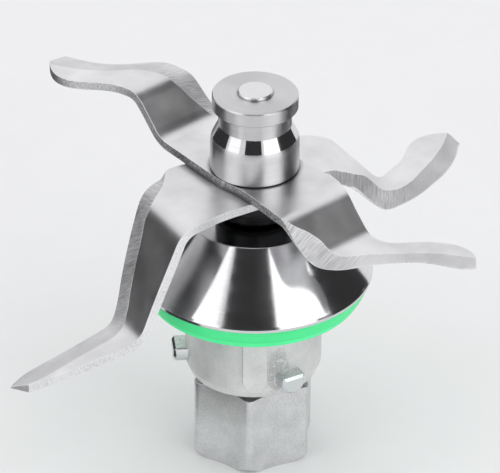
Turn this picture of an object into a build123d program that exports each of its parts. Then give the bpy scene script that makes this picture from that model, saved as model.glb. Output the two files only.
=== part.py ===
from build123d import *
from math import cos, radians, sin, tan
import os

os.makedirs("parts", exist_ok=True)

# Sizes are in millimetres. The origin is on the shaft's axis, on the foot of the star coupling.

# Star coupling: sintered six-point drive with hollow flanks, screwed on the end of the shaft
star_points = 6
star_tip_radius = 16.0
star_waist_radius = 12.4
star_tip_round = 1.6
star_height = 21.0
star_foot_bevel = 2.5
star_top_bevel = 0.6
star_turn = -93.4
star_boss_radius = 5.8
star_thread_depth = 15.0

# Shaft
shaft_radius = 4.0
shaft_thread_radius = 3.4
shaft_end_bevel = 0.25
knob_proud = 0.75

# Ball bearings, both of one size
bearing_radius = 11.0
bearing_width = 7.0
inner_shoulder_radius = 6.1
outer_shoulder_radius = 9.3
ball_count = 7
ball_radius = 1.98
ball_clearance = 0.06
cage_below = 2.5
cage_above = 0.9
cage_wall = 1.1
shield_thickness = 0.3
shield_inset = 0.35
shield_gap = 0.25
shield_grip = 0.4
ring_edge_round = 0.35

# Housing: cast body with a machined bore
housing_radius = 16.0
housing_foot_radius = 15.1
housing_foot_taper = 2.2
housing_foot_height = 22.4
housing_body_height = 20.8
housing_neck_radius = 14.4
housing_shoulder_radius = 21.0
housing_shoulder_thickness = 5.0
bore_lip_radius = 9.6
bore_lip_height = 1.0
circlip_width = 1.0
circlip_groove = 0.7
circlip_land = 1.2
circlip_gap_angle = 40
circlip_reach = 2.0
circlip_ear_turn = 5
circlip_ear_radius = 1.3
circlip_ear_hole = 0.5
rib_width = 5.7
rib_proud = 1.0
rib_turn = -88.6
rib_corner_width = 1.7
rib_corner_height = 2.3
rib_root_radius = 13.0
rib_foot_height = 24.8

# Bayonet lugs: round pins with a flat on top, pressed into the housing
lug_turns = {"front": -59.4, "left": 186.6, "rear": 63.6}
lug_radius = 3.1
lug_flat = 1.55
lug_proud = 3.1
lug_depth = 2.0
lug_height = 27.5
lug_edge_bevel = 0.6

# Cone cover and seal ring
cone_top_radius = 16.0
cone_height = 14.5
cone_rim_round = 0.35
flange_radius = 27.6
flange_thickness = 1.1
flange_edge_round = 0.4
cover_wall = 1.5
cover_hole_clearance = 0.4
seal_height = 5.4
seal_foot_radius = 25.3
seal_step_height = 1.7
seal_step_depth = 0.25

# Shaft seal
lip_seal_height = 4.4
lip_seal_wall = 0.6
lip_running_gap = 0.05
lip_root_thickness = 1.0
lip_case_overhang = 1.0
lip_flare = 0.9
lip_corner = 0.3
lip_height = 2.9
lip_contact_height = 2.1
spring_wire_radius = 0.5
spring_ring_radius = 7.4
spring_height = 2.1

# Hub under the blades
hub_sleeve_radius = 5.6
hub_collar_radius = 9.0
hub_collar_thickness = 7.6
hub_cover_gap = 0.8
hub_collar_bevel = 0.8

# Knob that clamps the blades
barrel_radius = 10.25
barrel_straight = 5.9
barrel_bevel = 0.3
shoulder_low_radius = 9.85
shoulder_low_height = 8.5
shoulder_top_radius = 8.4
shoulder_top_height = 11.5
neck_length = 4.2
disc_radius = 9.87
disc_thickness = 3.45
disc_bevel = 0.25

# Blades: stamped strips, folded across, with one edge of each arm ground from above
blade_thickness = 2.0
blade_half_width = 10.3
blade_fold_radius = 6.0
grind_lead_in = 0.4
grind_reach_out = 3.0
grind_reach_in = 1.2
grind_overrun = 90.0
grind_clear_height = 14.0
grind_stations = 30
curve_precision = 1e-6
lower_plate_radius = 12.5

# Arms: direction in plan, where the incline starts, its run and rise, the slope of the tip and the length
# that is blanked. Grinding: where it starts, how deep it cuts at the leading edge and its steepest slope.
# The outlines of the leading edge, of the ridge where the ground strip meets the flat, and of the trailing
# edge are points outward and across, to the left.
upper_right_arm = dict(turn=-48, fold=22.4, run=8.6, rise=-6.6, tip_slope=0, reach=57)
upper_right_grind = dict(start=21.7, full_depth=1.85, steepest=1.2)
upper_right_lead = [
    (0, -10.2), (15, -10.3), (21, -10.8), (28, -10.3), (32.7, -8.9), (35.9, -6.1), (38.0, -1.9),
    (41.1, 4.0), (46.0, 9.9), (50.8, 12.9), (53.8, 14.7), (55.1, 16.2),
]
upper_right_ridge = [
    (21.7, -10.9), (24.2, -8.2), (27.3, -5.8), (29.7, -4.8), (32.5, -4.9), (36.4, -0.8), (41.1, 5.6),
    (46.0, 11.7), (50.3, 15.3), (54.5, 17.8), (58.5, 20.2),
]
upper_right_trail = [
    (0, 10.3), (12, 9.6), (18, 9.4), (23, 8.1), (31, 6.9), (34.5, 6.7), (37.1, 7.8), (40.5, 12.2),
    (44.6, 16.4), (48.3, 18.6), (51.5, 19.0), (54.0, 18.3), (55.4, 17.2),
]
upper_left_arm = dict(turn=132, fold=22.8, run=8.2, rise=8.9, tip_slope=0, reach=57)
upper_left_grind = dict(start=19, full_depth=1.5, steepest=0.9)
upper_left_lead = [
    (0, -10.3), (22, -10.4), (28.2, -9.0), (34, -7.8), (38.4, -6.9), (43.3, -1.1), (48.1, 4.6),
    (53.1, 7.6), (56.8, 9.1),
]
upper_left_ridge = [
    (19, -10.4), (21.5, -7.9), (24.8, -5.7), (29.6, -2.2), (33.1, -0.8), (37.1, 0.7), (42.2, 6.6),
    (45.7, 10.4), (50.1, 13.5), (54.5, 15.8),
]
upper_left_trail = [
    (0, 10.2), (12, 9.6), (24.3, 8.9), (33, 9.4), (37.2, 10.6), (41.6, 14.1), (45.5, 17.1), (49, 17.9),
    (53, 16.6), (55.8, 14.6),
]
lower_right_arm = dict(turn=0, fold=17.6, run=10.9, rise=-9.1, tip_slope=0, reach=50)
lower_right_grind = dict(start=15, full_depth=1.85, steepest=0.6)
lower_right_lead = [
    (6, -4), (14, -0.5), (18, 1.0), (20.6, 2.6), (22.8, 4.1), (25.2, 4.3), (28, 3.2), (30.7, 1.9),
    (32.6, 2.9), (38.4, 8.6), (42.1, 14.1), (44.8, 18.6), (47.8, 27.1), (48.9, 31.2),
]
lower_right_ridge = [
    (15, -0.2), (18, 2.0), (21, 5.0), (23.8, 8.4), (26.2, 10.0), (28.4, 8.4), (30.8, 7.1), (34.5, 9.0),
    (38.0, 14.4), (40.7, 19.5), (42.6, 23.7), (44.1, 27.7), (45.0, 31.0), (46.2, 37.0),
]
lower_right_trail = [
    (1, 12), (5, 14.8), (15, 16.1), (20.3, 14.4), (26.2, 13.1), (28.4, 12.5), (31.6, 16.3),
    (34.0, 19.9), (36.2, 27.2), (38.0, 30.1), (44.4, 33.1), (46.4, 33.0),
]
lower_left_arm = dict(turn=210.6, fold=26.4, run=10.3, rise=-27.2, tip_slope=16, reach=65)
lower_left_grind = dict(start=17.8, full_depth=1.5, steepest=0.9)
lower_left_lead = [
    (1, -8.5), (11.5, -11.0), (14.6, -11.2), (18.1, -10.5), (21.5, -9.1), (26.4, -7.5), (30, -6.2),
    (34.3, -3.4), (38.2, -0.2), (42.5, 0.3), (53.9, 0.0), (61.7, 0.1), (64.6, 1.1),
]
lower_left_ridge = [
    (17.8, -10.6), (19.4, -7.5), (21.5, -4.9), (25.3, -2.3), (28.3, -0.9), (34.3, 2.6), (38.2, 5.6),
    (44.8, 6.1), (57.1, 6.0), (62.6, 5.2),
]
lower_left_trail = [
    (-5, 10.2), (6, 11.6), (17.5, 12.2), (24, 13.4), (33.7, 11.9), (40, 11.4), (46.4, 9.9), (52.7, 8.4),
    (59.2, 6.5), (62.2, 5.6),
]

# Heights that follow from the sizes above
bearing_pitch_radius = (inner_shoulder_radius + outer_shoulder_radius) / 2
circlip_foot = housing_foot_height + circlip_land
lower_bearing_foot = circlip_foot + circlip_width
seal_foot = housing_foot_height + housing_body_height
flange_foot = seal_foot + seal_height
cone_foot = flange_foot + flange_thickness
cone_top = cone_foot + cone_height
housing_top = cone_top - cover_wall
lip_seal_foot = housing_top - lip_seal_height
bore_lip_foot = lip_seal_foot - bore_lip_height
upper_bearing_foot = bore_lip_foot - bearing_width
hub_foot = upper_bearing_foot + bearing_width
collar_foot = cone_top + hub_cover_gap
lower_blade_foot = collar_foot + hub_collar_thickness
lower_blade_top = lower_blade_foot + blade_thickness
upper_blade_top = lower_blade_top + blade_thickness
knob_height = shoulder_top_height + neck_length + disc_thickness
knob_top = upper_blade_top + knob_height
shaft_top = knob_top + knob_proud


def keep(piece, name):
    """Labels a finished piece and writes its file."""
    piece.part.label = name
    export_step(piece.part, f"parts/{name}.step")


def tube(name, inner, outer, foot, top):
    """A plain turned ring."""
    with BuildPart() as ring:
        with BuildSketch(Plane.XY.offset(foot)):
            Circle(outer)
            Circle(inner, mode=Mode.SUBTRACT)
        extrude(amount=top - foot)
    keep(ring, name)


def polar_point(radius, angle):
    """A point in plan at a radius and an angle in degrees."""
    return (radius * cos(radians(angle)), radius * sin(radians(angle)))


# Star coupling
with BuildPart() as star_coupling:
    with BuildSketch():
        with BuildLine():
            step = 360 / star_points
            for index in range(star_points):
                start = star_turn + index * step
                ThreePointArc(
                    polar_point(star_tip_radius, start),
                    polar_point(star_waist_radius, start + step / 2),
                    polar_point(star_tip_radius, start + step),
                )
        make_face()
        fillet(vertices(), star_tip_round)
    extrude(amount=star_height)
    with BuildSketch(Plane.XZ):
        with BuildLine():
            Polyline(
                (0, 0),
                (star_tip_radius - star_foot_bevel, 0),
                (star_tip_radius, star_foot_bevel),
                (star_tip_radius, star_height - star_top_bevel),
                (star_tip_radius - star_top_bevel, star_height),
                (0, star_height),
                close=True,
            )
        make_face()
    revolve(axis=Axis.Z, mode=Mode.INTERSECT)
    with BuildSketch(Plane.XY.offset(star_height)):
        Circle(star_boss_radius)
    extrude(amount=lower_bearing_foot - star_height)
    with BuildSketch(Plane.XY.offset(lower_bearing_foot)):
        Circle(shaft_thread_radius)
    extrude(amount=-star_thread_depth, mode=Mode.SUBTRACT)
keep(star_coupling, "star_coupling")

# Drive shaft: turned, with a thinner threaded end for the coupling
with BuildPart() as drive_shaft:
    with BuildSketch(Plane.XY.offset(lower_bearing_foot - star_thread_depth)):
        Circle(shaft_thread_radius)
    extrude(amount=star_thread_depth)
    with BuildSketch(Plane.XY.offset(lower_bearing_foot)):
        Circle(shaft_radius)
    extrude(amount=shaft_top - lower_bearing_foot)
    chamfer(edges().group_by(Axis.Z)[-1], shaft_end_bevel)
keep(drive_shaft, "drive_shaft")

# Knob: turned in one piece, barrel, polished shoulder, neck and disc
with BuildPart() as grip_knob:
    with BuildSketch(Plane.XZ):
        with BuildLine():
            foot = upper_blade_top
            disc_foot = knob_top - disc_thickness
            shoulder = (shoulder_top_radius - shoulder_low_radius, shoulder_top_height - shoulder_low_height)
            Polyline(
                (shaft_radius, foot),
                (barrel_radius - barrel_bevel, foot),
                (barrel_radius, foot + barrel_bevel),
                (barrel_radius, foot + barrel_straight),
            )
            Spline(
                (barrel_radius, foot + barrel_straight),
                (shoulder_low_radius, foot + shoulder_low_height),
                tangents=((0, 1), shoulder),
            )
            Polyline(
                (shoulder_low_radius, foot + shoulder_low_height),
                (shoulder_top_radius, foot + shoulder_top_height),
                (shoulder_top_radius, disc_foot),
                (disc_radius - disc_bevel, disc_foot),
                (disc_radius, disc_foot + disc_bevel),
                (disc_radius, knob_top - disc_bevel),
                (disc_radius - disc_bevel, knob_top),
                (shaft_radius, knob_top),
                (shaft_radius, foot),
            )
        make_face()
    revolve(axis=Axis.Z)
keep(grip_knob, "grip_knob")

# Hub: flanged sleeve between the blades and the upper bearing
with BuildPart() as blade_hub:
    with BuildSketch(Plane.XY.offset(hub_foot)):
        Circle(hub_sleeve_radius)
    extrude(amount=collar_foot - hub_foot)
    with BuildSketch(Plane.XY.offset(collar_foot)):
        Circle(hub_collar_radius)
    extrude(amount=lower_blade_foot - collar_foot)
    chamfer(edges().filter_by(GeomType.CIRCLE).group_by(Axis.Z)[-2:], hub_collar_bevel)
    with BuildSketch(Plane.XY.offset(hub_foot)):
        Circle(shaft_radius)
    extrude(amount=lower_blade_foot - hub_foot, mode=Mode.SUBTRACT)
keep(blade_hub, "blade_hub")


def at_outward(curve, outward):
    """The point of a curve at a distance outward, and its direction there."""
    low = 0.0
    high = 1.0
    while high - low > curve_precision:
        middle = (low + high) / 2
        if (curve @ middle).X < outward:
            low = middle
        else:
            high = middle
    return curve @ low, (curve % low).normalized()


def ground_away(path, edge, ridge, start, full_depth, steepest):
    """What grinding takes off an arm: all above a sloping face from the leading edge up to the ridge.

    The slope keeps its steepest value until the strip is wide enough for its full depth. Before the start
    the face stays above the sheet, so the ground strip starts in a point.
    """
    outer_row = []
    inner_row = []
    for station in range(-1, grind_stations + 2):
        share = min(max(station / grind_stations, 0), 1)
        past_end = (station / grind_stations - share) * grind_overrun
        point = (edge @ share) + (edge % share).normalized() * past_end
        sheet, along = at_outward(path, point.X)
        if point.X > start:
            width = at_outward(ridge, point.X)[0].Y - point.Y
            slope = min(full_depth / width, steepest)
        else:
            width = (point.X - start) * grind_lead_in
            slope = steepest
        for row, across in ((outer_row, -grind_reach_out), (inner_row, max(width, 0) + grind_reach_in)):
            depth = slope * (width - across)
            row.append(Vector(point.X + along.Y * depth, point.Y + across, sheet.Y - along.X * depth))
    face = Face.make_surface_from_curves(Edge.make_spline(outer_row), Edge.make_spline(inner_row))
    return Solid.extrude(face, Vector(0, 0, grind_clear_height))


def folded_arm(turn, fold, run, rise, tip_slope, reach, plate_top, lead, ridge, trail, grind):
    """One arm of a blade: a strip folded across at the fold and again past the run, cut to its outline.

    The leading edge is the clockwise one, and it is ground from above.
    """
    out = (cos(radians(turn)), sin(radians(turn)), 0)
    side = Plane(origin=(0, 0, 0), x_dir=out, z_dir=(out[1], -out[0], 0))
    plan = Plane(origin=(0, 0, 0), x_dir=out, z_dir=(0, 0, 1))
    far = reach + blade_half_width
    tip_height = plate_top + rise - (far - fold - run) * tan(radians(tip_slope))
    with BuildPart() as arm:
        with BuildSketch(side):
            with BuildLine():
                path = FilletPolyline(
                    (0, plate_top),
                    (fold, plate_top),
                    (fold + run, plate_top + rise),
                    (far, tip_height),
                    radius=blade_fold_radius,
                )
                offset(amount=blade_thickness, side=Side.RIGHT)
            make_face()
        extrude(amount=far, both=True)
        with BuildSketch(plan):
            with BuildLine():
                edge = Spline(*lead)
                Line(lead[-1], trail[-1])
                Spline(*trail)
                Line(trail[0], lead[0])
            make_face()
        extrude(amount=shaft_top, mode=Mode.INTERSECT)
        strip = ground_away(path, edge, Edge.make_spline([Vector(*point) for point in ridge]), **grind)
        add(plan.from_local_coords(strip), mode=Mode.SUBTRACT)
    return arm


# Upper blade
with BuildPart() as upper_blade:
    add(
        folded_arm(
            plate_top=upper_blade_top,
            lead=upper_right_lead,
            ridge=upper_right_ridge,
            trail=upper_right_trail,
            grind=upper_right_grind,
            **upper_right_arm,
        ).part
    )
    add(
        folded_arm(
            plate_top=upper_blade_top,
            lead=upper_left_lead,
            ridge=upper_left_ridge,
            trail=upper_left_trail,
            grind=upper_left_grind,
            **upper_left_arm,
        ).part
    )
    Hole(shaft_radius)
keep(upper_blade, "upper_blade")

# Lower blade
with BuildPart() as lower_blade:
    with BuildSketch(Plane.XY.offset(lower_blade_foot)):
        Circle(lower_plate_radius)
    extrude(amount=blade_thickness)
    add(
        folded_arm(
            plate_top=lower_blade_top,
            lead=lower_right_lead,
            ridge=lower_right_ridge,
            trail=lower_right_trail,
            grind=lower_right_grind,
            **lower_right_arm,
        ).part
    )
    add(
        folded_arm(
            plate_top=lower_blade_top,
            lead=lower_left_lead,
            ridge=lower_left_ridge,
            trail=lower_left_trail,
            grind=lower_left_grind,
            **lower_left_arm,
        ).part
    )
    Hole(shaft_radius)
keep(lower_blade, "lower_blade")


def outward_plane(turn, radius, height):
    """An upright plane that faces outward from the axis at an angle in plan."""
    out = (cos(radians(turn)), sin(radians(turn)), 0)
    return Plane(origin=(radius * out[0], radius * out[1], height), x_dir=(-out[1], out[0], 0), z_dir=out)


def lug_pin(turn):
    """A lug's body: a short round bar that points outward, with a flat on top."""
    with BuildPart() as pin:
        with BuildSketch(outward_plane(turn, housing_radius - lug_depth, lug_height)):
            Circle(lug_radius)
            with Locations((0, lug_flat)):
                Rectangle(2 * lug_radius, lug_radius, align=(Align.CENTER, Align.MIN), mode=Mode.SUBTRACT)
        extrude(amount=lug_depth + lug_proud)
    return pin


# Bearing housing: cast outside, machined bore from below, lip between bearing and shaft seal
with BuildPart() as bearing_housing:
    with BuildSketch(Plane.XZ):
        with BuildLine():
            Polyline(
                (0, housing_foot_height),
                (housing_foot_radius, housing_foot_height),
                (housing_radius, housing_foot_height + housing_foot_taper),
                (housing_radius, seal_foot),
                (housing_shoulder_radius, seal_foot),
                (housing_shoulder_radius, flange_foot),
                (housing_neck_radius, flange_foot),
                (housing_neck_radius, housing_top),
                (0, housing_top),
                close=True,
            )
        make_face()
    revolve(axis=Axis.Z)
    with BuildSketch(outward_plane(rib_turn, rib_root_radius, rib_foot_height)):
        with BuildLine():
            Polyline(
                (-rib_width / 2, seal_foot - rib_foot_height),
                (-rib_width / 2, rib_corner_height),
                (-rib_width / 2 + rib_corner_width, 0),
                (rib_width / 2 - rib_corner_width, 0),
                (rib_width / 2, rib_corner_height),
                (rib_width / 2, seal_foot - rib_foot_height),
                close=True,
            )
        make_face()
    extrude(amount=housing_radius + rib_proud - rib_root_radius)
    for turn in lug_turns.values():
        add(lug_pin(turn).part, mode=Mode.SUBTRACT)
    with BuildSketch(Plane.XY.offset(housing_foot_height)):
        Circle(bearing_radius)
    extrude(amount=bore_lip_foot - housing_foot_height, mode=Mode.SUBTRACT)
    with BuildSketch(Plane.XY.offset(bore_lip_foot)):
        Circle(bore_lip_radius)
    extrude(amount=bore_lip_height, mode=Mode.SUBTRACT)
    with BuildSketch(Plane.XY.offset(lip_seal_foot)):
        Circle(bearing_radius)
    extrude(amount=lip_seal_height, mode=Mode.SUBTRACT)
    with BuildSketch(Plane.XY.offset(circlip_foot)):
        Circle(bearing_radius + circlip_groove)
    extrude(amount=circlip_width, mode=Mode.SUBTRACT)
keep(bearing_housing, "bearing_housing")

# Bayonet lugs: hard steel pins in blind holes of the housing
for lug_name, turn in lug_turns.items():
    with BuildPart() as bayonet_lug:
        add(lug_pin(turn).part)
        outward = Axis((0, 0, 0), (*polar_point(1, turn), 0))
        outer_face = faces().filter_by(GeomType.PLANE).sort_by(outward)[-1]
        chamfer(outer_face.edges(), lug_edge_bevel)
    keep(bayonet_lug, f"bayonet_lug_{lug_name}")

# Cone cover: turned shell with a flange, over the housing's neck
with BuildPart() as cone_cover:
    with BuildSketch(Plane.XZ):
        with BuildLine():
            hole = hub_sleeve_radius + cover_hole_clearance
            Polyline(
                (hole, housing_top),
                (hole, cone_top),
                (cone_top_radius, cone_top),
                (flange_radius - flange_edge_round, cone_foot),
                (flange_radius, cone_foot - flange_edge_round),
                (flange_radius, flange_foot),
                (housing_neck_radius, flange_foot),
                (housing_neck_radius, flange_foot + flange_thickness),
                (flange_radius - 2 * cover_wall, flange_foot + flange_thickness),
                (cone_top_radius - cover_wall, housing_top),
                close=True,
            )
        make_face()
        fillet(vertices().sort_by_distance((cone_top_radius, cone_top))[0], cone_rim_round)
    revolve(axis=Axis.Z)
keep(cone_cover, "cone_cover")

# Seal ring: moulded silicone under the flange, with a step round its foot
with BuildPart() as seal_ring:
    with BuildSketch(Plane.XZ):
        with BuildLine():
            step_foot = seal_foot + seal_step_height
            step_share = seal_step_height / seal_height
            step_radius = seal_foot_radius + (flange_radius - seal_foot_radius) * step_share
            Polyline(
                (housing_shoulder_radius, seal_foot),
                (seal_foot_radius - seal_step_depth, seal_foot),
                (step_radius - seal_step_depth, step_foot),
                (step_radius, step_foot),
                (flange_radius, flange_foot),
                (housing_shoulder_radius, flange_foot),
                close=True,
            )
        make_face()
    revolve(axis=Axis.Z)
keep(seal_ring, "seal_ring")

# Spacers between the two bearings
spacer_foot = lower_bearing_foot + bearing_width
tube("inner_spacer", shaft_radius, inner_shoulder_radius, spacer_foot, upper_bearing_foot)
tube("outer_spacer", outer_shoulder_radius, bearing_radius, spacer_foot, upper_bearing_foot)

# Bearings: grooved rings, balls in a crown cage, a thin shield on either side
for bearing, foot in {"lower": lower_bearing_foot, "upper": upper_bearing_foot}.items():
    middle = foot + bearing_width / 2
    top = foot + bearing_width
    shield_seat = shield_inset + shield_thickness
    with BuildPart() as ball_tracks:
        with BuildSketch(Plane.XZ):
            with Locations((bearing_pitch_radius, middle)):
                Circle(ball_radius + ball_clearance)
        revolve(axis=Axis.Z)
    with BuildPart() as ball_set:
        with Locations((0, 0, middle)):
            with PolarLocations(bearing_pitch_radius, ball_count):
                Sphere(ball_radius)
    keep(ball_set, f"{bearing}_bearing_balls")
    with BuildPart() as inner_ring:
        with BuildSketch(Plane.XY.offset(foot)):
            Circle(inner_shoulder_radius)
            Circle(shaft_radius, mode=Mode.SUBTRACT)
        extrude(amount=bearing_width)
        chamfer(edges().filter_by(GeomType.CIRCLE), ring_edge_round)
        add(ball_tracks.part, mode=Mode.SUBTRACT)
    keep(inner_ring, f"{bearing}_bearing_inner_ring")
    with BuildPart() as outer_ring:
        with BuildSketch(Plane.XY.offset(foot)):
            Circle(bearing_radius)
            Circle(outer_shoulder_radius, mode=Mode.SUBTRACT)
        extrude(amount=bearing_width)
        for seat_foot in (foot, top - shield_seat):
            with BuildSketch(Plane.XY.offset(seat_foot)):
                Circle(outer_shoulder_radius + shield_grip)
            extrude(amount=shield_seat, mode=Mode.SUBTRACT)
        outside = edges().filter_by(GeomType.CIRCLE).group_by(SortBy.RADIUS)[-1]
        chamfer(outside, ring_edge_round)
        add(ball_tracks.part, mode=Mode.SUBTRACT)
    keep(outer_ring, f"{bearing}_bearing_outer_ring")
    shield_inner = inner_shoulder_radius + shield_gap
    shield_outer = outer_shoulder_radius + shield_grip
    for end, shield_foot in {"bottom": foot + shield_inset, "top": top - shield_seat}.items():
        shield_top = shield_foot + shield_thickness
        tube(f"{bearing}_bearing_{end}_shield", shield_inner, shield_outer, shield_foot, shield_top)
    with BuildPart() as cage:
        with BuildSketch(Plane.XY.offset(middle - cage_below)):
            Circle(bearing_pitch_radius + cage_wall / 2)
            Circle(bearing_pitch_radius - cage_wall / 2, mode=Mode.SUBTRACT)
        extrude(amount=cage_below + cage_above)
        with Locations((0, 0, middle)):
            with PolarLocations(bearing_pitch_radius, ball_count):
                Sphere(ball_radius + ball_clearance, mode=Mode.SUBTRACT)
    keep(cage, f"{bearing}_bearing_cage")

# Circlip under the lower bearing: an open ring with a drilled ear at each end
with BuildPart() as housing_circlip:
    with BuildSketch(Plane.XY.offset(circlip_foot)):
        clip_radius = bearing_radius + circlip_groove
        Circle(clip_radius)
        Circle(clip_radius - circlip_reach, mode=Mode.SUBTRACT)
        with BuildLine():
            Polyline(
                (0, 0),
                polar_point(2 * clip_radius, -circlip_gap_angle / 2),
                polar_point(2 * clip_radius, circlip_gap_angle / 2),
                close=True,
            )
        make_face(mode=Mode.SUBTRACT)
        ear_angle = circlip_gap_angle / 2 + circlip_ear_turn
        ears = [polar_point(clip_radius - circlip_reach, side * ear_angle) for side in (-1, 1)]
        with Locations(*ears):
            Circle(circlip_ear_radius)
        with Locations(*ears):
            Circle(circlip_ear_hole, mode=Mode.SUBTRACT)
    extrude(amount=circlip_width)
keep(housing_circlip, "housing_circlip")

# Shaft seal: pressed steel case, rubber lip moulded into it, and a garter spring round the lip
lip_foot = lip_seal_foot + lip_seal_wall
lip_inner = hub_sleeve_radius + lip_running_gap
with BuildPart() as lip_seal_case:
    with BuildSketch(Plane.XZ):
        with BuildLine():
            Polyline(
                (bore_lip_radius - lip_case_overhang, lip_seal_foot),
                (bearing_radius, lip_seal_foot),
                (bearing_radius, housing_top),
                (bearing_radius - lip_seal_wall, housing_top),
                (bearing_radius - lip_seal_wall, lip_foot),
                (bore_lip_radius - lip_case_overhang, lip_foot),
                close=True,
            )
        make_face()
    revolve(axis=Axis.Z)
keep(lip_seal_case, "lip_seal_case")
with BuildPart() as lip_seal_spring:
    with BuildSketch(Plane.XZ):
        with Locations((spring_ring_radius, lip_foot + spring_height)):
            Circle(spring_wire_radius)
    revolve(axis=Axis.Z)
keep(lip_seal_spring, "lip_seal_spring")
with BuildPart() as lip_seal_lip:
    with BuildSketch(Plane.XZ):
        with BuildLine():
            Polyline(
                (lip_inner + lip_flare, lip_foot),
                (bearing_radius - lip_seal_wall, lip_foot),
                (bearing_radius - lip_seal_wall, lip_foot + lip_root_thickness),
                (spring_ring_radius + lip_corner, lip_foot + lip_root_thickness),
                (spring_ring_radius, lip_foot + lip_root_thickness + lip_corner),
                (spring_ring_radius, lip_foot + lip_height),
                (lip_inner + lip_flare, lip_foot + lip_height),
                (lip_inner, lip_foot + lip_contact_height),
                close=True,
            )
        make_face()
    revolve(axis=Axis.Z)
    add(lip_seal_spring.part, mode=Mode.SUBTRACT)
keep(lip_seal_lip, "lip_seal_lip")
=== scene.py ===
from math import cos, radians, sin

import bpy
from mathutils import Matrix, Vector


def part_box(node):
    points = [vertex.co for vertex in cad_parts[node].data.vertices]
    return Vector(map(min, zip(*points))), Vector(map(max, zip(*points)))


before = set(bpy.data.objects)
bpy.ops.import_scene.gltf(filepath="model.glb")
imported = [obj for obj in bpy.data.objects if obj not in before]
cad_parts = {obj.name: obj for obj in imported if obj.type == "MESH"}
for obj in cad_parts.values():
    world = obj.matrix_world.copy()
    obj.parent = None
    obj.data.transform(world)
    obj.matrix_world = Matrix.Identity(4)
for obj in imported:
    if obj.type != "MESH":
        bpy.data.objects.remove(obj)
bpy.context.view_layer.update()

# Star coupling: the six-pointed drive at the foot, screwed on the end of the shaft.
# It is pressed and sintered from steel powder, then tumbled.
# Pores and cloudy patches are left in its skin, and its flanks are rubbed up and down by the drive.


def put(tree, kind, settings=(), inputs=()):
    """Adds a shader node. Its inputs are plain values or the outputs of other nodes."""
    node = tree.nodes.new("ShaderNode" + kind)
    for name, value in dict(settings).items():
        setattr(node, name, value)
    for name, value in dict(inputs).items():
        if isinstance(value, bpy.types.NodeSocket):
            tree.links.new(value, node.inputs[name])
        else:
            node.inputs[name].default_value = value
    return node


def work(tree, operation, *values):
    """A sum of any kind on one, two or three numbers."""
    return put(tree, "Math", {"operation": operation}, enumerate(values)).outputs["Value"]


def lay_on(tree, under, pattern, share):
    """Adds a share of a pattern to what lies under it."""
    return work(tree, "MULTIPLY_ADD", pattern, share, under)


def spread(tree, value, first, last, start=0.3, end=0.7):
    """Turns a value that runs from start to end into one that runs from first to last."""
    given = {"Value": value, "From Min": start, "From Max": end, "To Min": first, "To Max": last}
    return put(tree, "MapRange", {}, given).outputs["Result"]


def place_on_piece(tree, stretch=(1, 1, 1)):
    """Where a point lies on its piece, in metres, with each direction stretched."""
    point = put(tree, "TexCoord").outputs["Object"]
    stretched = put(tree, "VectorMath", {"operation": "MULTIPLY"}, {0: point, 1: stretch})
    return stretched.outputs["Vector"]


def grain(tree, place, size, detail=3, roughness=0.6):
    """A cloudy pattern, mostly 0.3 to 0.7, whose patches are about as wide as the size, in metres."""
    given = {"Vector": place, "Scale": 1 / size, "Detail": detail, "Roughness": roughness}
    return put(tree, "TexNoise", {}, given).outputs["Fac"]


def finish(name, metal):
    """A new material with its shader."""
    material = bpy.data.materials.new(name)
    material.use_nodes = True
    shader = material.node_tree.nodes["Principled BSDF"]
    shader.inputs["Metallic"].default_value = metal
    return material, material.node_tree, shader


def tint(tree, shader, dark, light, pattern):
    """Colours a surface between a dark and a light shade, as a pattern of 0 to 1 says."""
    mixed = put(tree, "Mix", {"data_type": "RGBA"}, {"Factor": pattern, 6: (*dark, 1), 7: (*light, 1)})
    tree.links.new(mixed.outputs[2], shader.inputs["Base Color"])


def dull(tree, shader, pattern, smoothest, roughest):
    """Makes a surface duller where its grain is stronger."""
    tree.links.new(spread(tree, pattern, smoothest, roughest), shader.inputs["Roughness"])


def relief(tree, shader, height, depth, edge_round=0):
    """Raises the surface by a pattern of 0 to 1 times the depth, and rounds the piece's sharp edges."""
    given = {"Height": height, "Distance": depth, "Strength": 1}
    if edge_round:
        given["Normal"] = put(tree, "Bevel", {"samples": 6}, {"Radius": edge_round}).outputs["Normal"]
    bump = put(tree, "Bump", {}, given)
    tree.links.new(bump.outputs["Normal"], shader.inputs["Normal"])


def streak_upright(tree, shader, strength):
    """Draws each highlight out up and down, as rings from turning or rubbing do."""
    shader.inputs["Anisotropic"].default_value = strength
    shader.inputs["Anisotropic Rotation"].default_value = 0.25
    round_shaft = put(tree, "Tangent", {"direction_type": "RADIAL", "axis": "Z"})
    tree.links.new(round_shaft.outputs["Tangent"], shader.inputs["Tangent"])


def dress(material, *names):
    """Gives pieces of the frame their finish."""
    for name in names:
        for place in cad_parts[name].material_slots:
            place.material = material


star_dark = (0.56, 0.56, 0.565)
star_light = (0.86, 0.86, 0.865)
pore_share = 0.6
sintered_steel, tree, shader = finish("sintered_steel", metal=1)
pores = grain(tree, place_on_piece(tree), size=0.0004, detail=4, roughness=0.75)
clouds = grain(tree, place_on_piece(tree), size=0.007)
rubbing = grain(tree, place_on_piece(tree, stretch=(1, 1, 0.12)), size=0.0006)
mottle = lay_on(tree, work(tree, "MULTIPLY", pores, pore_share), clouds, 1 - pore_share)
tint(tree, shader, star_dark, star_light, spread(tree, mottle, 0.05, 0.8, start=0.35, end=0.6))
dull(tree, shader, rubbing, smoothest=0.285, roughest=0.33)
streak_upright(tree, shader, strength=0.5)
relief(tree, shader, pores, depth=0.00004, edge_round=0.0003)
dress(sintered_steel, "star_coupling")

# Drive shaft: an 8 mm bar of bright drawn steel, turned, with its end faced square.
# It carries all that spins, and its end stands out of the top of the knob.


def split(tree, place):
    """The three numbers of a place or a direction."""
    return put(tree, "SeparateXYZ", {}, {0: place}).outputs


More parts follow.
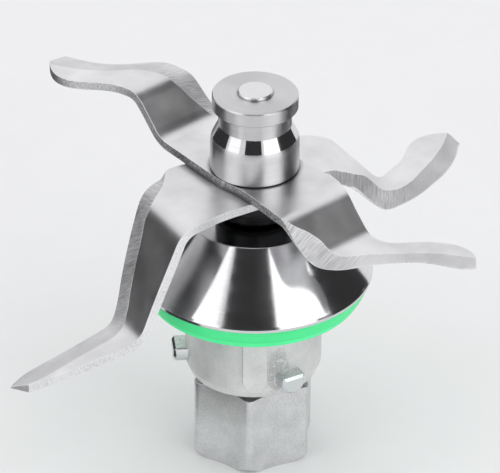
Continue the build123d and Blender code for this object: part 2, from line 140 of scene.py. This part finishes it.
def place_round_shaft(tree, stretch=(1, 1, 1)):
    """Where a point lies round the shaft: radius, angle from the back and height, each stretched."""
    point = split(tree, place_on_piece(tree))
    outward = put(tree, "CombineXYZ", {}, {0: point["X"], 1: point["Y"]}).outputs["Vector"]
    radius = put(tree, "VectorMath", {"operation": "LENGTH"}, {0: outward}).outputs["Value"]
    angle = work(tree, "ARCTAN2", point["X"], point["Y"])
    joined = put(tree, "CombineXYZ", {}, {0: radius, 1: angle, 2: point["Z"]}).outputs["Vector"]
    stretched = put(tree, "VectorMath", {"operation": "MULTIPLY"}, {0: joined, 1: stretch})
    return stretched.outputs["Vector"]


def lathe_rings(tree, width, drift=0.00003, along_shaft=1):
    """The fine rings that a lathe leaves, as a grain about as wide as the width, in metres.

    The drift is how far the grain changes in a radian, and a small along_shaft draws it out.
    """
    return grain(tree, place_round_shaft(tree, stretch=(1, drift, along_shaft)), size=width)


shaft_dark = (0.74, 0.74, 0.75)
shaft_light = (0.82, 0.82, 0.83)
drawn_steel, tree, shader = finish("drawn_steel", metal=1)
rings = lathe_rings(tree, width=0.00012, drift=0.00002, along_shaft=0.3)
tint(tree, shader, shaft_dark, shaft_light, spread(tree, rings, 0, 1))
dull(tree, shader, rings, smoothest=0.285, roughest=0.34)
relief(tree, shader, rings, depth=0.0000015, edge_round=0.0001)
dress(drawn_steel, "drive_shaft")

# Ball bearings: two shielded bearings between the shaft and the bore of the housing.
# Their rings are ground steel, their balls are polished, and the cages are pressed from sheet.
# A thin pressed shield snaps in on either side of each.

bearing_dark = (0.55, 0.55, 0.56)
bearing_light = (0.66, 0.66, 0.67)
ground_steel, tree, shader = finish("ground_bearing_steel", metal=1)
rings = lathe_rings(tree, width=0.00015)
tint(tree, shader, bearing_dark, bearing_light, spread(tree, rings, 0, 1))
dull(tree, shader, rings, smoothest=0.12, roughest=0.22)
relief(tree, shader, rings, depth=0.000003)

ball_dark = (0.60, 0.60, 0.61)
ball_light = (0.70, 0.70, 0.71)
ball_steel, tree, shader = finish("polished_ball_steel", metal=1)
haze = grain(tree, place_on_piece(tree), size=0.0008)
tint(tree, shader, ball_dark, ball_light, spread(tree, haze, 0, 1))
dull(tree, shader, haze, smoothest=0.05, roughest=0.10)

pressed_dark = (0.42, 0.42, 0.43)
pressed_light = (0.54, 0.54, 0.55)
pressed_steel, tree, shader = finish("pressed_steel", metal=1)
sheen = grain(tree, place_on_piece(tree), size=0.0015)
tint(tree, shader, pressed_dark, pressed_light, spread(tree, sheen, 0, 1))
dull(tree, shader, sheen, smoothest=0.28, roughest=0.42)
relief(tree, shader, grain(tree, place_on_piece(tree), size=0.0003), depth=0.000006)

for end in ("upper", "lower"):
    dress(ground_steel, f"{end}_bearing_inner_ring", f"{end}_bearing_outer_ring")
    dress(ball_steel, f"{end}_bearing_balls")
    dress(pressed_steel, f"{end}_bearing_cage")
    dress(pressed_steel, f"{end}_bearing_top_shield", f"{end}_bearing_bottom_shield")

# Spacers: two plain tubes of turned steel that hold the bearings apart.
# One is on the shaft between the inner rings, the other in the bore between the outer rings.

spacer_dark = (0.48, 0.48, 0.49)
spacer_light = (0.60, 0.60, 0.61)
spacer_steel, tree, shader = finish("turned_spacer_steel", metal=1)
rings = lathe_rings(tree, width=0.0002)
tint(tree, shader, spacer_dark, spacer_light, spread(tree, rings, 0, 1))
dull(tree, shader, rings, smoothest=0.25, roughest=0.4)
relief(tree, shader, rings, depth=0.000006)
dress(spacer_steel, "inner_spacer", "outer_spacer")

# Circlip: a stamped ring of hardened spring steel, phosphated and oiled nearly black.
# It snaps into the bore of the housing and keeps the lower bearing in.

circlip_dark = (0.06, 0.06, 0.065)
circlip_light = (0.12, 0.12, 0.125)
spring_steel, tree, shader = finish("oiled_spring_steel", metal=1)
oil = grain(tree, place_on_piece(tree), size=0.002)
tint(tree, shader, circlip_dark, circlip_light, spread(tree, oil, 0, 1))
dull(tree, shader, oil, smoothest=0.3, roughest=0.5)
dress(spring_steel, "housing_circlip")

# Shaft seal: a lip of matt black rubber, moulded into a pressed steel case under the cone's top.
# A small ring spring holds the lip to the hub.

rubber_dark = (0.012, 0.012, 0.013)
rubber_light = (0.03, 0.03, 0.032)
lip_rubber, tree, shader = finish("lip_rubber", metal=0)
bloom = grain(tree, place_on_piece(tree), size=0.003)
tint(tree, shader, rubber_dark, rubber_light, spread(tree, bloom, 0, 1))
dull(tree, shader, bloom, smoothest=0.55, roughest=0.75)
relief(tree, shader, grain(tree, place_on_piece(tree), size=0.0002), depth=0.00001)
dress(lip_rubber, "lip_seal_lip")
dress(pressed_steel, "lip_seal_case", "lip_seal_spring")

# Housing: die-cast aluminium with a flat rib down its front, tumbled matt after casting.
# A patch of the skin to the right of the rib is pitted, where the die let in air.
# Over that patch the colour is painted darker and lighter in spots, painted shade and glints of the pits.

cast_dark = (0.60, 0.60, 0.60)
cast_light = (0.78, 0.78, 0.78)
patch_turn = radians(21)
patch_width = radians(9)
patch_middle = 0.0297
patch_height = 0.006
pit_painted_shading = -1.6
patch_relief = 3
cast_aluminium, tree, shader = finish("cast_aluminium", metal=0.55)
skin = grain(tree, place_on_piece(tree), size=0.00045, detail=5, roughness=0.7)
flow = grain(tree, place_on_piece(tree), size=0.006)
place = split(tree, place_round_shaft(tree))
turn_from_front = work(tree, "SUBTRACT", radians(180), place["Y"])
patch_side = work(tree, "DIVIDE", work(tree, "SUBTRACT", turn_from_front, patch_turn), patch_width)
patch_up = work(tree, "DIVIDE", work(tree, "SUBTRACT", place["Z"], patch_middle), patch_height)
from_patch = work(tree, "ADD", work(tree, "POWER", patch_side, 2), work(tree, "POWER", patch_up, 2))
patch = spread(tree, from_patch, 1, 0, start=0.5, end=1.5)
pits = grain(tree, place_on_piece(tree), size=0.0011, detail=5, roughness=0.8)
pits = spread(tree, pits, -0.6, 0.8, start=0.42, end=0.58)
# The pits' painted shade and painted glints, and their relief.
pits_and_painted_shading = work(tree, "MULTIPLY", patch, pits)
shade = spread(tree, work(tree, "ADD", skin, flow), 0, 1, start=0.7, end=1.3)
tint(tree, shader, cast_dark, cast_light, lay_on(tree, shade, pits_and_painted_shading, pit_painted_shading))
dull(tree, shader, skin, smoothest=0.45, roughest=0.62)
relief(tree, shader, lay_on(tree, skin, pits_and_painted_shading, patch_relief), depth=0.00003, edge_round=0.0003)
dress(cast_aluminium, "bearing_housing")

# Bayonet lugs: three short pins of hardened, ground steel with a flat on top.
# The flat is grainy and the rest is smoother. Each is pressed into a blind hole of the housing.

lug_dark = (0.40, 0.42, 0.43)
lug_light = (0.80, 0.82, 0.83)
lug_shade = 0.75
flat_roughness = 0.2
round_speckle = 0.15
round_relief = 0.12
lug_steel, tree, shader = finish("hardened_lug_steel", metal=1)
faces_up = split(tree, put(tree, "TexCoord").outputs["Normal"])["Z"]
flat = spread(tree, faces_up, 0, 1, start=0.9, end=0.98)
grit = grain(tree, place_on_piece(tree), size=0.00045, detail=5, roughness=0.8)
speckle = spread(tree, grit, -0.6, 0.4, start=0.35, end=0.62)
speckle = work(tree, "MULTIPLY", speckle, work(tree, "ADD", flat, round_speckle))
tint(tree, shader, lug_dark, lug_light, work(tree, "ADD", speckle, lug_shade))
rough = lay_on(tree, spread(tree, grit, 0.14, 0.24), flat, flat_roughness)
tree.links.new(rough, shader.inputs["Roughness"])
height = work(tree, "MULTIPLY", grit, work(tree, "ADD", flat, round_relief))
relief(tree, shader, height, depth=0.00006, edge_round=0.00025)
dress(lug_steel, "bayonet_lug_front", "bayonet_lug_left", "bayonet_lug_rear")

# Cone cover: one turned piece of stainless steel, polished until it mirrors its surroundings.
# Fine rings are left from the lathe. It is pressed over the neck of the housing.

cone_dark = (0.66, 0.66, 0.67)
cone_light = (0.72, 0.72, 0.73)
polished_steel, tree, shader = finish("polished_stainless", metal=1)
rings = lathe_rings(tree, width=0.00018, drift=0.00004)
haze = lathe_rings(tree, width=0.003, drift=0.004)
tint(tree, shader, cone_dark, cone_light, spread(tree, rings, 0, 1))
dull(tree, shader, haze, smoothest=0.10, roughest=0.16)
relief(tree, shader, rings, depth=0.0000015, edge_round=0.0001)
dress(polished_steel, "cone_cover")

# Seal ring: moulded silicone, bright green and slightly clear, squeezed under the cone's flange.
# A low step runs round its foot, with a lip below it.
# Its colour is painted darker along the step, a painted shadow, and paler on the lip, painted light.

silicone_dark = (0.03, 0.72, 0.20)
silicone_light = (0.10, 0.95, 0.38)
step_height = 0.0017
step_shadow_strength = -0.35
lip_light_strength = 0.4
silicone, tree, shader = finish("green_silicone", metal=0)
clouds = lathe_rings(tree, width=0.004, drift=0.01)
height = split(tree, place_on_piece(tree))["Z"]
above_step = work(tree, "SUBTRACT", height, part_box("seal_ring")[0].z + step_height)
# Painted shadow in the step, and painted light on the lip below it.
painted_step_shadow = spread(tree, work(tree, "ABSOLUTE", above_step), 1, 0, start=0.0001, end=0.0003)
painted_lip_light = spread(tree, above_step, 1, 0, start=-0.0002, end=0)
shade = lay_on(tree, spread(tree, clouds, 0.35, 0.6), painted_lip_light, lip_light_strength)
tint(tree, shader, silicone_dark, silicone_light, lay_on(tree, shade, painted_step_shadow, step_shadow_strength))
dull(tree, shader, grain(tree, place_on_piece(tree), size=0.0006), smoothest=0.36, roughest=0.5)
relief(tree, shader, grain(tree, place_on_piece(tree), size=0.0005), depth=0.000008, edge_round=0.0002)
shader.inputs["Specular IOR Level"].default_value = 0.3
shader.inputs["Subsurface Weight"].default_value = 0.35
shader.inputs["Subsurface Radius"].default_value = (0.2, 1.0, 0.4)
shader.inputs["Subsurface Scale"].default_value = 0.002
dress(silicone, "seal_ring")

# Hub: a turned steel sleeve with a collar, which carries the blades and runs in the shaft seal.
# It is hardened, with only a dull shine. Its near-black colour is painted shade of the gap under the
# blades.

hub_painted_shade_dark = (0.022, 0.022, 0.024)
hub_painted_shade_light = (0.05, 0.05, 0.052)
hub_steel, tree, shader = finish("turned_hub_steel", metal=1)
rings = lathe_rings(tree, width=0.00015)
tint(tree, shader, hub_painted_shade_dark, hub_painted_shade_light, spread(tree, rings, 0, 1))
dull(tree, shader, rings, smoothest=0.3, roughest=0.42)
relief(tree, shader, rings, depth=0.000003, edge_round=0.0002)
dress(hub_steel, "blade_hub")

# Blades: two strips stamped from stainless sheet, folded across, tumbled satin and clamped by the knob.
# One edge of each arm is ground on a belt, which leaves scratches across the edge.
# The blanked sides are torn and grainy from the press.


def shade_painted_in_corners(tree, reach, darkest):
    """Painted shade in corners: 0 in the open, and the darkest value where two surfaces meet."""
    openness = put(tree, "AmbientOcclusion", {"samples": 8}, {"Distance": reach}).outputs["AO"]
    return spread(tree, openness, darkest, 0, start=0.45, end=0.9)


def measure_along(tree, place, direction):
    """How far a place or a direction reaches along another direction."""
    return put(tree, "VectorMath", {"operation": "DOT_PRODUCT"}, {0: place, 1: direction}).outputs["Value"]


def sharp_edges(tree, reach):
    """1 along a sharp edge, as far as the reach, and 0 on the open surface."""
    rounded = put(tree, "Bevel", {"samples": 6}, {"Radius": reach}).outputs["Normal"]
    flat = put(tree, "NewGeometry").outputs["Normal"]
    return spread(tree, measure_along(tree, rounded, flat), 1, 0, start=0.997, end=0.9998)


blade_dark = (0.20, 0.20, 0.205)
blade_light = (0.90, 0.90, 0.91)
corner_reach = 0.0016
corner_painted_darkest = -0.8
scratch_width = 0.00022
scratch_thinness = 0.05
scratches_deep_to = 0.032
scratches_faint_from = 0.040
hub_shade_full_to = 0.016
hub_shade_gone_from = 0.026
ground_roughness = 0.34
blanked_roughness = 0.16
satin_height = 0.02
torn_height = 5
edge_glint_reach = 0.00022


def blade_finish(name, side_right, side_left, blanked_dark, blanked_light, painted_shade_at_hub):
    """The finish of one blade, with the directions across its arm on the right and on the left.

    The blanked sides run from a dark to a light shade, and painted shade adds the last one close to the
    hub.
    """
    material, tree, shader = finish(name, metal=1)
    coordinates = put(tree, "TexCoord").outputs
    point = coordinates["Object"]
    facing = coordinates["Normal"]
    to_left = work(tree, "LESS_THAN", split(tree, point)["X"], 0)
    sides = {"Factor": to_left, 4: side_right, 5: side_left}
    across = put(tree, "Mix", {"data_type": "VECTOR"}, sides).outputs[1]
    up = (0, 0, 1)
    along = put(tree, "VectorMath", {"operation": "CROSS_PRODUCT"}, {0: across, 1: up}).outputs["Vector"]

    # A blanked side faces neither up nor down. A ground edge does, and leans across the strip.
    upright = work(tree, "ABSOLUTE", split(tree, facing)["Z"])
    sideways = work(tree, "ABSOLUTE", measure_along(tree, facing, across))
    blanked = spread(tree, upright, 1, 0, start=0.08, end=0.15)
    tilted = spread(tree, sideways, 0, 1, start=0.05, end=0.12)
    ground = work(tree, "MULTIPLY", tilted, work(tree, "SUBTRACT", 1, blanked))

    # Belt scratches run across the strip, so they change fast along the arm.
    far_out = measure_along(tree, point, along)
    far_across = work(tree, "MULTIPLY", measure_along(tree, point, across), scratch_thinness)
    belt = put(tree, "CombineXYZ", {}, {0: far_out, 1: far_across}).outputs["Vector"]
    scratches = grain(tree, belt, size=scratch_width, detail=4, roughness=0.7)
    torn = grain(tree, place_on_piece(tree), size=0.0004, detail=5, roughness=0.8)
    satin = grain(tree, place_on_piece(tree), size=0.00012, detail=2)
    smears = grain(tree, place_on_piece(tree), size=0.009, detail=3, roughness=0.5)

    # The scratches are faint at the tips, and the blanked sides are painted darker close to the hub,
    # painted shade.
    from_shaft = work(tree, "ABSOLUTE", far_out)
    fading = spread(tree, from_shaft, 1, 0.15, start=scratches_deep_to, end=scratches_faint_from)
    scratched = work(tree, "MULTIPLY", ground, fading)
    hub_shade_fade = spread(tree, from_shaft, painted_shade_at_hub, 0, start=hub_shade_full_to, end=hub_shade_gone_from)
    painted_hub_shade = work(tree, "MULTIPLY", hub_shade_fade, spread(tree, torn, 1, 0.25, start=0.42, end=0.58))
    torn_grain_and_painted_shade = spread(tree, torn, blanked_dark, blanked_light, start=0.42, end=0.58)
    torn_grain_and_painted_shade = work(tree, "ADD", torn_grain_and_painted_shade, painted_hub_shade)

    shade = spread(tree, smears, 0.66, 0.92)
    # Painted shade where surfaces meet.
    shade = work(tree, "ADD", shade, shade_painted_in_corners(tree, corner_reach, corner_painted_darkest))
    shade = lay_on(tree, shade, spread(tree, scratches, -0.4, 0.25), scratched)
    shade = lay_on(tree, shade, torn_grain_and_painted_shade, blanked)
    tint(tree, shader, blade_dark, blade_light, shade)
    rough = spread(tree, smears, 0.285, 0.36)
    rough = lay_on(tree, rough, ground, ground_roughness)
    rough = lay_on(tree, rough, blanked, blanked_roughness)
    tree.links.new(rough, shader.inputs["Roughness"])
    height = work(tree, "MULTIPLY", satin, satin_height)
    height = lay_on(tree, height, scratches, scratched)
    height = lay_on(tree, height, torn, work(tree, "MULTIPLY", blanked, torn_height))
    relief(tree, shader, height, depth=0.00001, edge_round=0.00018)

    # Every edge is made less metallic and shows pale where the flats are dark, a painted highlight.
    painted_edge_glint = work(tree, "MULTIPLY", sharp_edges(tree, edge_glint_reach), spread(tree, smears, 0.6, 1))
    tree.links.new(spread(tree, painted_edge_glint, 1, 0.1, start=0, end=1), shader.inputs["Metallic"])
    return material


def across_arm(turn):
    """The direction across an arm that points at an angle round the shaft, from the right."""
    return (-sin(turn), cos(turn), 0)


upper_side = across_arm(radians(132))
lower_right_side = across_arm(0)
lower_left_side = across_arm(radians(210.6))
# The upper blade's blanked sides are painted darker and the lower's paler, painted shade and painted
# light.
upper_steel = blade_finish("ground_blade_steel_upper", upper_side, upper_side,
                           blanked_dark=-0.3, blanked_light=0.15, painted_shade_at_hub=-0.9)
lower_steel = blade_finish("ground_blade_steel_lower", lower_right_side, lower_left_side,
                           blanked_dark=0.0, blanked_light=0.3, painted_shade_at_hub=0)
dress(upper_steel, "upper_blade")
dress(lower_steel, "lower_blade")

# Knob: turned stainless nut that clamps the blades, with a disc, a neck, a shoulder and a barrel.
# The shoulder is polished, the rest keeps a fine satin from the lathe.

knob_dark = (0.12, 0.12, 0.125)
knob_light = (0.68, 0.68, 0.69)
knob_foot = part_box("grip_knob")[0].z
shoulder_foot = knob_foot + 0.0085
shoulder_top = knob_foot + 0.0115
shoulder_polish = 0.75
knob_steel, tree, shader = finish("turned_knob_steel", metal=1)
height = split(tree, place_on_piece(tree))["Z"]
above_foot = work(tree, "GREATER_THAN", height, shoulder_foot)
below_top = work(tree, "LESS_THAN", height, shoulder_top)
polished = work(tree, "MULTIPLY", work(tree, "MULTIPLY", above_foot, below_top), shoulder_polish)
rings = lathe_rings(tree, width=0.00014)
# Painted shade in the knob's corners, as at the barrel's foot.
shade = work(tree, "ADD", spread(tree, rings, 0.85, 1), shade_painted_in_corners(tree, reach=0.0008, darkest=-0.7))
tint(tree, shader, knob_dark, knob_light, shade)
rough = work(tree, "MULTIPLY", spread(tree, rings, 0.28, 0.34), work(tree, "SUBTRACT", 1, polished))
tree.links.new(rough, shader.inputs["Roughness"])
streak_upright(tree, shader, strength=0.9)
relief(tree, shader, rings, depth=0.0000012, edge_round=0.0002)
dress(knob_steel, "grip_knob")

# Light tent: white cloth all round, which lights the object evenly from every side.
# It is seen and mirrored as plain white, and lights a little more strongly than that.

tent_white = (0.97, 0.97, 0.98, 1)
tent_light = 1.05
world = bpy.data.worlds.new("white_tent")
bpy.context.scene.world = world
world.use_nodes = True
tree = world.node_tree
rays = put(tree, "LightPath").outputs
seen_or_mirrored = work(tree, "MAXIMUM", rays["Is Camera Ray"], rays["Is Glossy Ray"])
seen_or_mirrored = work(tree, "MAXIMUM", seen_or_mirrored, rays["Is Transmission Ray"])
cloth = tree.nodes["Background"]
cloth.inputs["Color"].default_value = tent_white
tree.links.new(spread(tree, seen_or_mirrored, tent_light, 1, start=0, end=1), cloth.inputs["Strength"])

# Table: a round board on which the object stands, painted pale and matt.
# It is part of the studio and not of the object.

table_radius = 0.3
table_sides = 96
table_dark = (0.745, 0.745, 0.75)
table_light = (0.755, 0.755, 0.76)
rim = []
for side in range(table_sides):
    turn = radians(360 * side / table_sides)
    rim.append((table_radius * cos(turn), table_radius * sin(turn), 0))
table_mesh = bpy.data.meshes.new("pale_table")
table_mesh.from_pydata(rim, [], [tuple(range(table_sides))])
table = bpy.data.objects.new("pale_table", table_mesh)
bpy.context.scene.collection.objects.link(table)
pale_paint, tree, shader = finish("pale_table_paint", metal=0)
speckle = grain(tree, place_on_piece(tree), size=0.01)
tint(tree, shader, table_dark, table_light, spread(tree, speckle, 0, 1))
shader.inputs["Roughness"].default_value = 0.9
shader.inputs["Specular IOR Level"].default_value = 0.2
table_mesh.materials.append(pale_paint)

# Black cards: sheets of matt black board, stood in the tent and laid on the table.
# They give the steel something dark to mirror. They show only in it, and throw no shadow.

card_dark = (0.02, 0.02, 0.021)
card_light = (0.03, 0.03, 0.031)
object_middle = Vector((0, 0, 0.06))
above_table = 0.001
black_board, tree, shader = finish("black_card", metal=0)
tint(tree, shader, card_dark, card_light, grain(tree, place_on_piece(tree), size=0.1))
shader.inputs["Roughness"].default_value = 1


def black_card(name, width, height):
    """A black card that lies face up at the origin."""
    right = width / 2
    back = height / 2
    mesh = bpy.data.meshes.new(name)
    corners = [(-right, -back, 0), (right, -back, 0), (right, back, 0), (-right, back, 0)]
    mesh.from_pydata(corners, [], [(0, 1, 2, 3)])
    mesh.materials.append(black_board)
    card = bpy.data.objects.new(name, mesh)
    bpy.context.scene.collection.objects.link(card)
    card.visible_camera = False
    card.visible_shadow = False
    card.visible_diffuse = False
    return card


def stand_round(thing, turn, rise, distance):
    """Stands a thing so that it faces the object, at an angle from the front to the right, and one up."""
    turn = radians(turn)
    rise = radians(rise)
    outward = Vector((sin(turn) * cos(rise), -cos(turn) * cos(rise), sin(rise)))
    thing.location = object_middle + outward * distance
    thing.rotation_mode = "QUATERNION"
    thing.rotation_quaternion = outward.to_track_quat("Z", "Y")


standing_cards = {
    "front_card": (-4, 38, 0.9, 0.70, 0.88),
    "left_card": (-115, -4, 0.6, 0.90, 0.60),
    "right_card": (98, 4, 0.8, 0.95, 0.40),
    "upper_right_card": (100, 47, 0.8, 0.64, 1.10),
}
for name, (turn, rise, distance, width, height) in standing_cards.items():
    stand_round(black_card(name, width, height), turn, rise, distance)

table_cards = {
    "back_left_table_card": (-112, 0.20, 0.26, 0.20),
    "back_right_table_card": (112, 0.20, 0.26, 0.20),
    "front_left_table_card": (-64, 0.105, 0.06, 0.14),
}
for name, (turn, distance, width, height) in table_cards.items():
    card = black_card(name, width, height)
    turn = radians(turn)
    card.location = (distance * sin(turn), -distance * cos(turn), above_table)
    card.rotation_euler.z = turn

# Lamps: two large soft lamps, one to the left and one to the right of the camera.
# They stand a little higher than the camera and shine down on the object.

lamps = {
    "left_lamp": (-57, 34, 1.1, 0.63, 1.3, 1.45),
    "right_lamp": (50, 34, 1.1, 0.98, 1.2, 3.5),
}
for name, (turn, rise, distance, width, height, power) in lamps.items():
    lamp = bpy.data.lights.new(name, "AREA")
    lamp.shape = "RECTANGLE"
    lamp.size = width
    lamp.size_y = height
    lamp.energy = power
    stand = bpy.data.objects.new(name, lamp)
    bpy.context.scene.collection.objects.link(stand)
    stand_round(stand, turn, rise, distance)

# Camera: a long lens, at the height and angle of the photograph, with a slight roll.
# Its length in pixels is turned into millimetres on a full-frame sensor.

photo_width = 500
lens_in_pixels = 4310.7
sensor_width = 36.0
camera_place = Vector((0, -0.84033, 0.59358))
camera_target = Vector((-0.00097, 0.00255, 0.05552))
camera_roll = radians(0.41)
camera_data = bpy.data.cameras.new("long_lens")
camera_data.sensor_width = sensor_width
camera_data.lens = lens_in_pixels / photo_width * sensor_width
camera = bpy.data.objects.new("camera", camera_data)
bpy.context.scene.collection.objects.link(camera)
level_aim = (camera_target - camera_place).to_track_quat("-Z", "Y").to_matrix()
aim = level_aim @ Matrix.Rotation(camera_roll, 3, "Z")
camera.matrix_world = Matrix.Translation(camera_place) @ aim.to_4x4()
bpy.context.scene.camera = camera
bpy.context.scene.view_settings.view_transform = "Standard"
